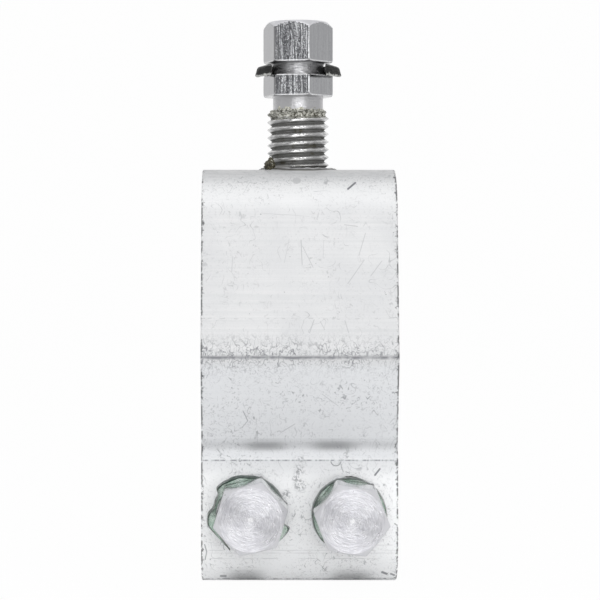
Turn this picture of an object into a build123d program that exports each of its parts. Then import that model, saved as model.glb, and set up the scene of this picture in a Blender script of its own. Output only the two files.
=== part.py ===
from build123d import *

import math
import os

# All sizes are millimetres. X runs along the extruded clamp and both conductors, -Y is the
# side that the branch bolts are turned from, and +Z is up, the way the main bolt stands.
# The origin lies on the clamp's flat foot, straight below the main bolt.

# Clamp body, cut from one extruded aluminium section
body_length = 49.0
block_front_y = -22.0
block_rear_y = 27.0
foot_front_radius = 10.0
rear_corner_radius = 2.5
ledge_edge_z = 31.5
ledge_edge_radius = 0.6
ledge_root_y = -20.3
ledge_root_z = 34.2
ledge_root_radius = 3.0
ridge_y = -27.0
ridge_z = 57.3
ridge_radius = 9.0
upper_wall_lean = 10.6
top_z = 104.1
top_front_radius = 13.5
arm_thickness = 18.0
arm_rear_y = 20.0
arm_nose_radius = 6.5
front_wall = 10.5
channel_floor_z = 36.0
channel_top_radius = 3.0
channel_ridge_radius = 10.0
channel_floor_radius = 3.0

# Branch tunnel through the lower block, with a recess that holds its contact bar
tunnel_y = 6.0
tunnel_z = 19.4
tunnel_hole_margin = 0.95
recess_height = 12.0
recess_floor_gap = 3.5

# Toothed contact bars, pressed into slots in the extrusion
bar_width = 4.0
bar_seat_depth = 3.5
bar_shoulder = 1.6
tooth_height = 2.6
tooth_pitch = 3.5
tooth_tip_width = 0.5
bar_side_clearance = 0.05
bar_end_inset = 0.5
main_bar_spacing = 12.0
branch_tooth_clearance = 0.3

# Shear-head bolts: drive hexagon, neck, release hexagon, plain shank and thread
hex_across_flats = 16.0
drive_hex_height = 10.5
neck_radius = 6.7
neck_length = 3.3
release_hex_height = 5.5
shank_radius = 6.5
shank_length = 3.5
thread_radius = 8.0
thread_clearance = 0.05
thread_runout = 1.0
hex_bevel_height = 1.55
hex_bevel_cut = 0.3
hex_turning_margin = 0.1
hex_underside_bevel = 0.4
bolt_tip_bevel = 1.0

# Main bolt, as far out as it stands in the photograph
main_thread_visible = 15.6
main_thread_inside = 4.0
main_bolt_angle = 47.3

# Branch bolts, screwed nearly home
branch_spacing = 24.2
left_standoff = 1.0
right_standoff = 3.0
left_bolt_angle = 13.0
right_bolt_angle = 51.0

# Pressure pads that swivel on a spigot at each bolt's tip
spigot_clearance = 0.05
spigot_end_gap = 0.3
main_spigot_radius = 5.0
main_spigot_length = 5.0
main_pad_length = 42.0
main_pad_wall_gap = 0.8
main_pad_rear_y = 11.5
main_pad_height = 11.0
main_pad_top_radius = 3.5
main_pad_lip_radius = 0.6
saddle_radius = 13.0
saddle_depth = 4.0
branch_spigot_radius = 4.0
branch_spigot_length = 2.0
branch_pad_hole_clearance = 0.35
branch_pad_past_axis = 0.5
branch_pad_thickness = 5.0
branch_pad_bevel_reach = 2.0
branch_pad_bevel_height = 2.9
branch_groove_half_width = 3.5
branch_groove_depth = 1.5

# Plastic stop clips, snapped round the bolts' necks between the two hexagons
clip_height = 2.8
clip_neck_clearance = 1.0
clip_wall = 1.6
clip_opening_margin = 0.5
clip_flare = 14.0
left_clip_angle = -2.0
right_clip_angle = 30.0
left_clip_drift = 0.9
right_clip_drift = 0.25

# Ends of a clip that a socket has spread outwards, and the bite torn out of the left clip
main_ear_spread = 2.0
left_ear_spread = 1.0
clip_ear_drop = 3.6
clip_ear_start_angle = 12.0
clip_end_drop = 8.8
clip_ear_radius = 0.8
bite_depth = 1.1
bite_low = 1.0
bite_high = 6.5

hex_circumradius = hex_across_flats / 2 / math.cos(math.radians(30))
bolt_hole_radius = thread_radius + thread_clearance
tunnel_radius = bolt_hole_radius + tunnel_hole_margin
branch_pad_radius = bolt_hole_radius - branch_pad_hole_clearance
channel_top_z = top_z - arm_thickness
release_hex_seat_z = top_z + main_thread_visible + shank_length
main_thread_length = main_thread_visible + arm_thickness + main_thread_inside
branch_pad_depth = tunnel_y + branch_pad_past_axis - block_front_y
branch_thread_length = branch_pad_depth + left_standoff - shank_length
slot_half_width = bar_width / 2 + bar_side_clearance
clip_bore_radius = neck_radius + clip_neck_clearance
clip_outer_radius = clip_bore_radius + clip_wall
clip_half_opening = clip_bore_radius - clip_opening_margin
recess_floor_y = tunnel_y + tunnel_radius + recess_floor_gap
branch_tip_y = tunnel_y + tunnel_radius + branch_tooth_clearance


def drift(height, lean):
    """How far a wall that leans by this angle moves sideways over a height."""
    return height * math.tan(math.radians(lean))


def outer_wall_y(z):
    """Where the front wall's outer face lies at a height, above and below its ridge."""
    if z >= ridge_z:
        return ridge_y + drift(z - ridge_z, upper_wall_lean)
    return ridge_y + (ridge_z - z) * (ledge_root_y - ridge_y) / (ridge_z - ledge_root_z)


def inner_wall_y(z):
    """Where the channel's front face lies at a height."""
    return outer_wall_y(z) + front_wall


def clamp_outline():
    """The closed C-shaped outline as (y, z, corner radius), from the foot's rear edge."""
    corners = [
        (block_rear_y, 0, rear_corner_radius),
        (block_front_y, 0, foot_front_radius),
        (block_front_y, ledge_edge_z, ledge_edge_radius),
        (ledge_root_y, ledge_root_z, ledge_root_radius),
        (ridge_y, ridge_z, ridge_radius),
        (outer_wall_y(top_z), top_z, top_front_radius),
        (arm_rear_y, top_z, arm_nose_radius),
        (arm_rear_y, channel_top_z, arm_nose_radius),
        (inner_wall_y(channel_top_z), channel_top_z, channel_top_radius),
        (inner_wall_y(ridge_z), ridge_z, channel_ridge_radius),
        (inner_wall_y(channel_floor_z), channel_floor_z, channel_floor_radius),
        (block_rear_y, channel_floor_z, rear_corner_radius),
    ]
    points = [(y, z) for y, z, radius in corners]
    radii = [radius for y, z, radius in corners]
    with BuildSketch() as outline:
        with BuildLine():
            FilletPolyline(*points, radius=radii, close=True)
        make_face()
    return outline.sketch


def block_of(y_low, y_high, z_low, z_high):
    """A rectangle of the section between two depths and two heights."""
    centre = ((y_low + y_high) / 2, (z_low + z_high) / 2)
    return Pos(*centre) * Rectangle(y_high - y_low, z_high - z_low)


def clamp_section():
    """The extruded section: outline, tunnel, tooth recess and the slots of the bars."""
    section = clamp_outline()
    section -= Pos(tunnel_y, tunnel_z) * Circle(tunnel_radius)
    recess_half = recess_height / 2
    section -= block_of(tunnel_y, recess_floor_y, tunnel_z - recess_half, tunnel_z + recess_half)
    slot_floor_y = branch_tip_y + tooth_height + bar_shoulder + bar_seat_depth
    section -= block_of(tunnel_y, slot_floor_y, tunnel_z - slot_half_width, tunnel_z + slot_half_width)
    for side in (-1, 1):
        slot_y = side * main_bar_spacing / 2
        section -= block_of(
            slot_y - slot_half_width,
            slot_y + slot_half_width,
            channel_floor_z - bar_seat_depth,
            channel_floor_z + bar_shoulder,
        )
    return section


def cylinder_between(radius, start, end):
    """A round bar from one point to another."""
    axis = Vector(*end) - Vector(*start)
    return extrude(Plane(origin=start, z_dir=axis) * Circle(radius), amount=axis.length)


def clamp_body():
    """The extrusion cut to length, with the main bolt's hole and the two branch bolts' holes."""
    body = extrude(Plane.YZ * clamp_section(), amount=body_length / 2, both=True)
    body -= cylinder_between(
        bolt_hole_radius, (0, 0, channel_top_z - arm_nose_radius), (0, 0, top_z + thread_radius)
    )
    for side in (-1, 1):
        x = side * branch_spacing / 2
        body -= cylinder_between(
            bolt_hole_radius, (x, block_front_y - thread_radius, tunnel_z), (x, tunnel_y, tunnel_z)
        )
    return body


def contact_bar():
    """A toothed bar along X, its seat at z = 0 and its piercing teeth pointing up."""
    length = body_length - 2 * bar_end_inset
    shoulder_z = bar_seat_depth + bar_shoulder
    tip_z = shoulder_z + tooth_height
    half_width = bar_width / 2
    half_tip = tooth_tip_width / 2
    wedge = Polygon(
        (-half_width, 0),
        (half_width, 0),
        (half_width, shoulder_z),
        (half_tip, tip_z),
        (-half_tip, tip_z),
        (-half_width, shoulder_z),
        align=None,
    )
    bar = extrude(Plane.YZ * wedge, amount=length / 2, both=True)
    flank = (tooth_pitch - tooth_tip_width) / 2
    valley = Polygon((-flank, tip_z), (0, shoulder_z), (flank, tip_z), align=None)
    cutter = extrude(Plane.XZ * valley, amount=half_width, both=True)
    count = int(length / tooth_pitch) + 1
    bar -= [Pos((i - (count - 1) / 2) * tooth_pitch, 0, 0) * cutter for i in range(count)]
    return bar


def main_contact_bar(side):
    """A toothed bar in the channel floor, in front of (-1) or behind (1) the main bolt."""
    return Pos(0, side * main_bar_spacing / 2, channel_floor_z - bar_seat_depth) * contact_bar()


def branch_contact_bar():
    """The toothed bar at the back of the branch tunnel, its teeth pointing at the bolts."""
    seat_y = branch_tip_y + tooth_height + bar_shoulder + bar_seat_depth
    return Pos(0, seat_y, tunnel_z) * Rot(X=90) * contact_bar()


def hexagon(turn):
    """The bolts' hexagon with a corner at this angle from X."""
    return Rot(Z=turn) * RegularPolygon(hex_circumradius, 6)


def bevelled_hex(bottom, height, top_bevel, turn):
    """A hexagon prism whose corners are turned off, more at the top where it is bevelled."""
    top = bottom + height
    flat_radius = hex_across_flats / 2
    full_radius = hex_circumradius + hex_turning_margin
    turned = Polygon(
        (0, bottom),
        (full_radius - hex_underside_bevel, bottom),
        (full_radius, bottom + hex_underside_bevel),
        (full_radius, top - top_bevel),
        (flat_radius - hex_bevel_cut, top),
        (0, top),
        align=None,
    )
    prism = extrude(Pos(0, 0, bottom) * hexagon(turn), amount=height)
    return prism & revolve(Plane.XZ * turned, Axis.Z)


def shear_bolt(thread_length, spigot_radius, spigot_length, turn):
    """A shear-head bolt on Z, the release hexagon's underside at z = 0 and the tip below."""
    neck_z = release_hex_height
    drive_z = neck_z + neck_length
    tip_z = -shank_length - thread_length
    shaft = Polygon(
        (0, drive_z + hex_underside_bevel),
        (neck_radius, drive_z + hex_underside_bevel),
        (neck_radius, 0),
        (shank_radius, 0),
        (shank_radius, -shank_length),
        (thread_radius, -shank_length - thread_runout),
        (thread_radius, tip_z + bolt_tip_bevel),
        (thread_radius - bolt_tip_bevel, tip_z),
        (spigot_radius, tip_z),
        (spigot_radius, tip_z - spigot_length),
        (0, tip_z - spigot_length),
        align=None,
    )
    bolt = revolve(Plane.XZ * shaft, Axis.Z)
    bolt += bevelled_hex(0, release_hex_height, hex_underside_bevel, turn)
    bolt += bevelled_hex(drive_z, drive_hex_height, hex_bevel_height, turn)
    return bolt


def clip_ears(spread):
    """The outline of a clip's two ends, spread this far past its rim, from ear to ear."""
    reach = clip_outer_radius + spread
    start = math.radians(clip_ear_start_angle)
    root_x, root_y = clip_outer_radius * math.cos(start), clip_outer_radius * math.sin(start)
    return Polygon(
        (-root_x, root_y),
        (-reach, -clip_ear_drop),
        (-clip_half_opening, -clip_end_drop),
        (clip_half_opening, -clip_end_drop),
        (reach, -clip_ear_drop),
        (root_x, root_y),
        align=None,
    )


def stop_clip(spread=0):
    """A C-shaped clip on Z, open towards -Y, its wide side at z = 0, its ends spread or not."""
    outline = Circle(clip_outer_radius)
    if spread:
        outline += clip_ears(spread)
        corners = [v for v in outline.vertices() if abs(v.X) > clip_outer_radius]
        outline = fillet(corners, radius=clip_ear_radius)
    clip = extrude(outline, amount=clip_height, taper=clip_flare)
    clip -= extrude(Circle(clip_bore_radius), amount=clip_height)
    opening = Pos(0, -clip_bore_radius) * Rectangle(2 * clip_half_opening, 2 * clip_bore_radius)
    return clip - extrude(opening, amount=clip_height)


def torn_stop_clip():
    """A spread clip with a bite out of its rim above one ear."""
    bite_x = bite_depth - clip_outer_radius - clip_bore_radius / 2
    bite = Pos(bite_x, (bite_low + bite_high) / 2) * Rectangle(clip_bore_radius, bite_high - bite_low)
    return stop_clip(left_ear_spread) - extrude(bite, amount=clip_height)


def main_place():
    """Where the main bolt's release hexagon sits."""
    return Pos(0, 0, release_hex_seat_z)


def branch_place(side):
    """Where a branch bolt's release hexagon sits, its head towards -Y."""
    x, standoff = (-branch_spacing / 2, left_standoff)
    if side == "right":
        x, standoff = (branch_spacing / 2, right_standoff)
    return Pos(x, block_front_y - standoff, tunnel_z) * Rot(X=90)


def main_shear_bolt():
    bolt = shear_bolt(main_thread_length, main_spigot_radius, main_spigot_length, main_bolt_angle)
    return main_place() * bolt


def main_stop_clip():
    return main_place() * Pos(0, 0, release_hex_height) * stop_clip(main_ear_spread)


def main_pressure_pad():
    """The saddle that the main bolt drives down onto the conductor."""
    top = channel_top_z - main_thread_inside
    front_y = inner_wall_y(channel_top_z) + main_pad_wall_gap
    section = block_of(front_y, main_pad_rear_y, top - main_pad_height, top)
    corners = section.vertices().sort_by(Axis.Y)
    section = fillet(corners[-2:], radius=main_pad_top_radius)
    section = fillet(section.vertices().sort_by(Axis.Y)[:2], radius=main_pad_lip_radius)
    saddle_z = top - main_pad_height + saddle_depth - saddle_radius
    section -= Pos(0, saddle_z) * Circle(saddle_radius)
    pad = extrude(Plane.YZ * section, amount=main_pad_length / 2, both=True)
    socket = main_spigot_radius + spigot_clearance
    return pad - cylinder_between(socket, (0, 0, top), (0, 0, top - main_spigot_length - spigot_end_gap))


def branch_shear_bolt(side):
    turn = left_bolt_angle if side == "left" else right_bolt_angle
    bolt = shear_bolt(branch_thread_length, branch_spigot_radius, branch_spigot_length, turn)
    return branch_place(side) * bolt


def branch_stop_clip(side):
    """The left clip is spread and torn, the right one is whole."""
    if side == "left":
        seat = Pos(-left_clip_drift, 0, release_hex_height) * Rot(Z=left_clip_angle)
        return branch_place(side) * seat * torn_stop_clip()
    seat = Pos(-right_clip_drift, 0, release_hex_height) * Rot(Z=right_clip_angle)
    return branch_place(side) * seat * stop_clip()


def branch_pressure_pad(side):
    """The grooved button that a branch bolt pushes at the branch conductor."""
    back = -shank_length - branch_thread_length
    face = back - branch_pad_thickness
    turned = Polygon(
        (0, back),
        (branch_pad_radius, back),
        (branch_pad_radius, face + branch_pad_bevel_height),
        (branch_pad_radius - branch_pad_bevel_reach, face),
        (0, face),
        align=None,
    )
    pad = revolve(Plane.XZ * turned, Axis.Z)
    socket = branch_spigot_radius + spigot_clearance
    pad -= cylinder_between(socket, (0, 0, back), (0, 0, back - branch_spigot_length - spigot_end_gap))
    groove = Polygon(
        (-branch_groove_half_width, face),
        (branch_groove_half_width, face),
        (0, face + branch_groove_depth),
        align=None,
    )
    pad -= extrude(Plane.YZ * groove, amount=branch_pad_radius, both=True)
    return branch_place(side) * pad


def all_parts():
    """Every separate piece under its own name."""
    parts = {
        "clamp_body": clamp_body(),
        "main_shear_bolt": main_shear_bolt(),
        "main_stop_clip": main_stop_clip(),
        "main_pressure_pad": main_pressure_pad(),
        "main_contact_bar_front": main_contact_bar(-1),
        "main_contact_bar_rear": main_contact_bar(1),
        "branch_contact_bar": branch_contact_bar(),
    }
    for side in ("left", "right"):
        parts[f"branch_shear_bolt_{side}"] = branch_shear_bolt(side)
        parts[f"branch_stop_clip_{side}"] = branch_stop_clip(side)
        parts[f"branch_pressure_pad_{side}"] = branch_pressure_pad(side)
    return parts


os.makedirs("parts", exist_ok=True)
for name, shape in all_parts().items():
    export_step(shape, f"parts/{name}.step")
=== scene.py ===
import math

import bmesh
import bpy
import numpy as np
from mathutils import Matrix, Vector, noise


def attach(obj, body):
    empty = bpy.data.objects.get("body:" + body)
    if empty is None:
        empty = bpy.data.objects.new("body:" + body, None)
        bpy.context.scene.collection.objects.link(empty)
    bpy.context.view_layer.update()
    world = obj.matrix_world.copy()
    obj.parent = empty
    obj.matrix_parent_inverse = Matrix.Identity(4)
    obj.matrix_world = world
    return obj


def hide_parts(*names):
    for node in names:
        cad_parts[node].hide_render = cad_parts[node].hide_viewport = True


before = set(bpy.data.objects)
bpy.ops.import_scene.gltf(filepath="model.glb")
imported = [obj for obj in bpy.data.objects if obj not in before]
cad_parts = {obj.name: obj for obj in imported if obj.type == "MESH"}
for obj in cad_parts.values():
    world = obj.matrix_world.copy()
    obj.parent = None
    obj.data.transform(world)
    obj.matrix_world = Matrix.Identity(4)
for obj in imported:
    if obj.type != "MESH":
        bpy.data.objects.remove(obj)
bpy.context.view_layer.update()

MM = 0.001

# The photograph: its width, focal length and principal point in pixels, and where the camera stood
PHOTO_PX = 600
FOCAL_PX = 1924
PRINCIPAL_PX = (262, 244)
CAMERA_DISTANCE = 500 * MM
CAMERA_X = -9.36 * MM
CAMERA_Z = 85.1 * MM

# Sizes repeated from the part, in millimetres
BODY_LENGTH = 49.0
BODY_TOP = 104.1
BODY_BACK_Y = 27.0
BLOCK_FRONT_Y = -22.0
BRANCH_X = 12.1
BRANCH_Z = 19.4
HEX_APOTHEM = 8.0
DRIVE_HEX = 10.5
NECK = 3.3
RELEASE_HEX = 5.5
SHANK = 3.5
NECK_RADIUS = 6.7
SHANK_RADIUS = 6.5
THREAD_RADIUS = 8.0
HOLE_RADIUS = 8.05
LEFT_STANDOFF = 1.0
RIGHT_STANDOFF = 3.0
MAIN_SEAT_Z = 123.2
MAIN_THREAD = 37.6
BRANCH_THREAD = 26.0
FACE_Z = RELEASE_HEX + NECK + DRIVE_HEX

# The M16 thread, and the part of a turn that puts its crests at the photograph's heights
THREAD_PITCH = 2.0
THREAD_DEPTH = 1.15
THREAD_PHASE = 0.845

# The main hexagon's rubbed flat, in degrees, and how far the swarf keeps from the main bolt's axis
RUBBED_FLAT = 102.7
SWARF_CLEARANCE = 9.4


def linear(red, green, blue):
    """A colour written as it shows on screen, 0 to 255, in linear values."""
    return tuple(((c / 255) ** 2.2) for c in (red, green, blue))


# Node helpers

class Field:
    """A value that varies over a surface: an output in a material's nodes, with plain arithmetic."""

    def __init__(self, nodes, socket):
        self.nodes, self.socket = nodes, socket

    def __add__(self, other):
        return self.nodes.math("ADD", self, other)

    def __sub__(self, other):
        return self.nodes.math("SUBTRACT", self, other)

    def __rsub__(self, other):
        return self.nodes.math("SUBTRACT", other, self)

    def __mul__(self, other):
        return self.nodes.math("MULTIPLY", self, other)

    def __abs__(self):
        return self.nodes.math("ABSOLUTE", self)

    def ramp(self, low, high, start=0.0, end=1.0):
        """Goes smoothly from start to end while the value goes from low to high."""
        node = self.nodes.add("MapRange", interpolation_type="SMOOTHSTEP")
        self.nodes.put(node.inputs["Value"], self)
        for key, number in (("From Min", low), ("From Max", high), ("To Min", start), ("To Max", end)):
            node.inputs[key].default_value = number
        return Field(self.nodes, node.outputs[0])

    def band(self, middle, reach):
        """1 at the middle of a band, falling softly to 0 at its reach."""
        return abs(self - middle).ramp(0, reach, 1, 0)


class Nodes:
    """A short way to build a material's node tree."""

    def __init__(self, name):
        self.material = bpy.data.materials.new(name)
        self.material.use_nodes = True
        self.tree = self.material.node_tree
        self.tree.nodes.clear()
        self.out = self.tree.nodes.new("ShaderNodeOutputMaterial")

    def add(self, kind, **settings):
        node = self.tree.nodes.new("ShaderNode" + kind)
        for key, value in settings.items():
            setattr(node, key, value)
        return node

    def put(self, socket, value):
        """Links a field to a socket, or sets a constant there."""
        if isinstance(value, Field):
            self.tree.links.new(value.socket, socket)
        else:
            socket.default_value = value

    def put_all(self, node, values):
        for socket, value in zip(node.inputs, values):
            self.put(socket, value)
        return Field(self, node.outputs[0])

    def math(self, operation, *values, clamp=False):
        return self.put_all(self.add("Math", operation=operation, use_clamp=clamp), values)

    def most(self, first, *others):
        """The largest of several values."""
        for other in others:
            first = self.math("MAXIMUM", first, other)
        return first

    def combine(self, x, y, z):
        return self.put_all(self.add("CombineXYZ"), (x, y, z))

    def separate(self, vector):
        node = self.add("SeparateXYZ")
        self.put(node.inputs[0], vector)
        return [Field(self, socket) for socket in node.outputs]

    def measure(self, operation, *vectors):
        """A number made of vectors: LENGTH, DISTANCE or DOT_PRODUCT."""
        node = self.add("VectorMath", operation=operation)
        self.put_all(node, vectors)
        return Field(self, node.outputs["Value"])

    def length(self, a, b):
        """How far a place is from the origin by its two coordinates."""
        return self.measure("LENGTH", self.combine(a, b, 0.0))

    def scaled(self, vector, factor):
        node = self.add("VectorMath", operation="SCALE")
        self.put(node.inputs["Vector"], vector)
        self.put(node.inputs["Scale"], factor)
        return Field(self, node.outputs["Vector"])

    def mapping(self, vector, scale=(1, 1, 1), location=(0, 0, 0)):
        node = self.add("Mapping")
        self.put(node.inputs["Vector"], vector)
        node.inputs["Scale"].default_value = scale
        node.inputs["Location"].default_value = location
        return Field(self, node.outputs[0])

    def noise(self, vector, scale, detail, rough, distortion=0.0, location=(0, 0, 0)):
        """Noise of one scale, or of a scale for each axis at a location."""
        node = self.add("TexNoise")
        if isinstance(scale, tuple):
            vector, scale = self.mapping(vector, scale, location), 1.0
        self.put(node.inputs["Vector"], vector)
        for key, number in (("Scale", scale), ("Detail", detail), ("Roughness", rough),
                            ("Distortion", distortion)):
            node.inputs[key].default_value = number
        return Field(self, node.outputs["Fac"])

    def mix(self, factor, a, b):
        node = self.add("Mix", data_type="RGBA")
        self.put(node.inputs["Factor"], factor)
        ends = [socket for socket in node.inputs if socket.type == "RGBA"]
        for socket, value in zip(ends, (a, b)):
            self.put(socket, (*value, 1) if isinstance(value, tuple) else value)
        return Field(self, [socket for socket in node.outputs if socket.type == "RGBA"][0])

    def coats(self, colour, *coats):
        """A colour with others laid over it in turn, each as (how much, colour)."""
        for share, coat in coats:
            colour = self.mix(share, colour, coat)
        return colour

    def stored(self, name):
        """A vector that is stored with the mesh."""
        return Field(self, self.add("Attribute", attribute_name=name).outputs["Vector"])

    def coordinates(self, name):
        return Field(self, self.add("TexCoord").outputs[name])

    def bump(self, height, distance):
        node = self.add("Bump")
        node.inputs["Distance"].default_value = distance
        self.put(node.inputs["Height"], height)
        return Field(self, node.outputs[0])

    def surface(self, **values):
        """Ends the tree with a surface of these values and hands back the material."""
        node = self.add("BsdfPrincipled")
        for key, value in values.items():
            self.put(node.inputs[key.replace("_", " ")], (*value, 1) if isinstance(value, tuple) else value)
        self.tree.links.new(node.outputs[0], self.out.inputs["Surface"])
        return self.material


def object_mm(nodes):
    """The surface point in millimetres, in the part's own frame."""
    return nodes.scaled(nodes.coordinates("Object"), 1 / MM)


# Materials

def scratch_distance(nodes, x, z, ends):
    """How far a point of the front lies from a straight scratch, in millimetres."""
    start_x, start_z, end_x, end_z = ends
    run_x, run_z = end_x - start_x, end_z - start_z
    square = run_x ** 2 + run_z ** 2
    point = nodes.combine(x - start_x, z - start_z, 0.0)
    share = nodes.measure("DOT_PRODUCT", point, (run_x / square, run_z / square, 0))
    share = nodes.math("ADD", share, 0.0, clamp=True)
    return nodes.measure("DISTANCE", point, nodes.scaled(nodes.combine(run_x, run_z, 0.0), share))


def curly_lines(nodes, point, scale, width, share, seed, stretch=1.0):
    """Short curved strokes: thin contours of one noise, broken up by another."""
    moved = nodes.mapping(point, (1, 1, stretch), (seed, seed * 2, 0))
    line = abs(nodes.noise(moved, scale, 1.0, 0.5, 0.15) - 0.5).ramp(0, width, 1, 0)
    breaks = nodes.noise(nodes.mapping(point, location=(seed * 3, 0, seed)), scale * 1.1, 2, 0.5)
    return line * breaks.ramp(1 - share, 1 - share + 0.08)


# Straight scratches on the front as (x, z) of both ends, half width and depth of tone
FRONT_SCRATCHES = (
    (12.2, 98.9, 14.1, 100.5, 0.22, 1.0), (0.35, 86.1, 0.6, 80.0, 0.09, 0.4),
    (0.7, 84.6, 3.3, 79.3, 0.09, 0.3), (-2.6, 86.3, -3.8, 80.5, 0.08, 0.2),
    (6.0, 86.0, 5.8, 81.6, 0.08, 0.2), (16.4, 87.8, 14.7, 82.3, 0.1, 0.3),
    (16.0, 81.1, 11.9, 75.3, 0.1, 0.3), (20.4, 80.9, 17.6, 77.2, 0.1, 0.3),
    (11.2, 89.9, 14.4, 89.5, 0.1, 0.35), (-9.6, 92.8, 2.4, 92.0, 0.07, 0.2),
    (3.5, 66.4, 2.4, 63.3, 0.1, 0.35), (11.1, 66.2, 12.0, 63.2, 0.1, 0.3),
    (5.0, 66.0, 6.1, 64.0, 0.09, 0.3), (-16.6, 82.0, -16.9, 78.2, 0.1, 0.25),
    (18.7, 27.7, 19.9, 29.2, 0.2, 0.95), (-14.0, 43.6, -12.9, 41.2, 0.12, 0.6),
    (-12.9, 41.2, -14.4, 39.4, 0.1, 0.5), (5.5, 48.0, 9.5, 45.0, 0.08, 0.35),
    (-4.5, 38.3, -1.2, 40.4, 0.09, 0.4), (20.7, 3.1, 21.8, 2.6, 0.3, 0.9),
    (22.9, 2.6, 23.7, 2.2, 0.25, 0.8), (-19.6, 1.9, -18.5, 1.9, 0.3, 0.8),
    (5.7, 4.4, 6.6, 3.6, 0.13, 0.6), (6.8, 4.6, 6.2, 3.4, 0.12, 0.5),
    (-23.6, 10.4, -23.1, 8.6, 0.14, 0.7), (-23.1, 8.6, -23.5, 6.6, 0.12, 0.7),
)
# Grey rubbed spots on the front as (x, z, radius)
FRONT_SMUDGES = (
    (-0.2, 29.0, 1.7), (0.3, 31.6, 0.9), (0.0, 25.2, 1.9), (-3.3, 23.1, 1.3), (-1.0, 26.8, 1.2)
)
# Broken lines along the front as (height, reach, whether it wanders, the breaks' noise along x as
# (scale, shift, detail, roughness), and the noise's range with the line's tone at each end of it)
BROKEN_LINES = (
    (66.7, 0.18, True, (0.6, 0, 2, 0.5), (0.5, 0.56, 0, 0.3)),
    (31.35, 0.32, False, (0.7, 0, 4, 0.7), (0.42, 0.56, 0.1, 0.9)),
    (10.3, 0.16, False, (0.16, 10.3, 2, 0.5), (0.42, 0.56, 0, 0.35)),
    (9.0, 0.16, False, (0.16, 9.0, 2, 0.5), (0.42, 0.56, 0, 0.35)),
    (8.3, 0.16, False, (0.16, 8.3, 2, 0.5), (0.42, 0.56, 0, 0.35)),
    (6.9, 0.16, False, (0.16, 6.9, 2, 0.5), (0.42, 0.56, 0, 0.35)),
    (0.9, 0.5, True, (0.2, 0, 4, 0.7), (0.42, 0.55, 0.1, 0.8)),
)
# Painted shade of the bolt heads: dark strips in the groove above them and on the edge below them, as (height,
# reach, least and most tone, patches as (x, half width))
BOLT_SHADE_STRIPS = (
    (34.8, 2.3, 0.26, 0.66, ((-8.6, 9.0), (8.6, 9.5))),
    (0.4, 5.0, 0.0, 0.7, ((-13.5, 8.0), (13.0, 9.0))),
)
# The half-moon chip in the sharp edge over the block as (x, z, radius), and a pale spot near the top
CHIP = (9.0, 31.25, 1.25)
SPOT = (-0.63, 101.05)
RIDGE_Z = 57.8
# Height of the painted highlight along the rounded shoulder at the top of the front
SHOULDER_HIGHLIGHT_Z = 98.2
BURR_RADIUS = 10.0


def scattered_marks(nodes, point, z, lower, cloud):
    """Scuffs along the ridge, and fine strokes, hairs and pits: all of them, the strokes, the pits."""
    def curls(*settings):
        return curly_lines(nodes, point, *settings)

    scuffs = nodes.most(curls(0.55, 0.03, 0.62, 7.0, 0.6), curls(0.85, 0.035, 0.6, 21.0, 0.7) * 0.8,
                        curls(0.7, 0.026, 0.58, 33.0, 1.6))
    uneven = nodes.noise(point, (0.14, 0.05, 0.05), 2, 0.5, location=(4.0, 0, 0))
    scuffs = scuffs * z.band(RIDGE_Z, 6.8) * uneven.ramp(0.34, 0.52, 0.55, 1.0)
    crest = (z + cloud * 0.8).band(RIDGE_Z - 0.2, 0.75) * cloud.ramp(0.3, 0.6, 0.4, 0.95)
    patchy = nodes.noise(point, 0.09, 2, 0.5).ramp(0.35, 0.6, 0.35, 1.0)
    strokes = nodes.most(curls(0.5, 0.024, 0.46, 3.0, 0.4) * 0.8, curls(0.36, 0.024, 0.45, 15.0, 2.4) * 0.7)
    strokes = strokes * patchy
    hairs = curls(0.17, 0.006, 0.5, 11.0) * 0.5
    pits = nodes.noise(point, 1.1, 2, 0.5).ramp(0.73, 0.78) * 0.7
    fines = nodes.most(curls(1.2, 0.045, 0.5, 41.0, 0.6), curls(0.9, 0.035, 0.48, 57.0, 2.2)) * patchy
    fines = fines * nodes.most(lower * 0.4, z.ramp(97.0, 101.0, 0.15, 0.6))
    everything = nodes.most(scuffs, crest * 0.95, strokes * lower.ramp(0, 1, 0.4, 0.85), hairs, pits, fines)
    return everything, strokes, pits


def photographed_marks(nodes, point, x, z, cloud):
    """The scratches, smudges, chips and broken lines that the photograph shows one by one."""
    marks = [scratch_distance(nodes, x, z, ends).ramp(half_width * 0.5, half_width * 1.6, tone, 0)
             for *ends, half_width, tone in FRONT_SCRATCHES]
    wandering = z + (cloud - 0.5) * 1.2
    for height, reach, wanders, (scale, shift, detail, roughness), tones in BROKEN_LINES:
        breaks = nodes.noise(point, (scale, 0, 0), detail, roughness, location=(shift, 0, 0))
        marks.append((wandering if wanders else z).band(height, reach) * breaks.ramp(*tones))
    torn = nodes.noise(point, 1.5, 4, 0.7, 0.5).ramp(0.46, 0.54, 0, 0.7)
    for at_x, at_z, radius in FRONT_SMUDGES:
        marks.append(nodes.length(x - at_x, z - at_z).ramp(radius * 0.3, radius * 1.2, 1, 0) * torn)
    chip = nodes.length(x - CHIP[0], z - CHIP[1]).band(CHIP[2], 0.22)
    marks.append(chip * z.ramp(31.2, 31.0, 0, 0.9))
    spot = nodes.length((x - SPOT[0]) * 0.75, z - SPOT[1]) + cloud * 0.3
    return nodes.most(*marks, spot.ramp(0.85, 1.05, 0.35, 0))


def painted_bolt_shade(nodes, x, z, die_lines):
    """How dark the painted shade of the bolt heads is on the front, its edges drawn out along the die lines.
    """
    streaky = z + (die_lines - 0.5) * 1.2
    strips = [streaky.band(height, reach)
              * nodes.most(*(x.band(at_x, half) for at_x, half in patches)).ramp(0, 1, least, most)
              for height, reach, least, most, patches in BOLT_SHADE_STRIPS]
    return nodes.most(*strips)


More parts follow.
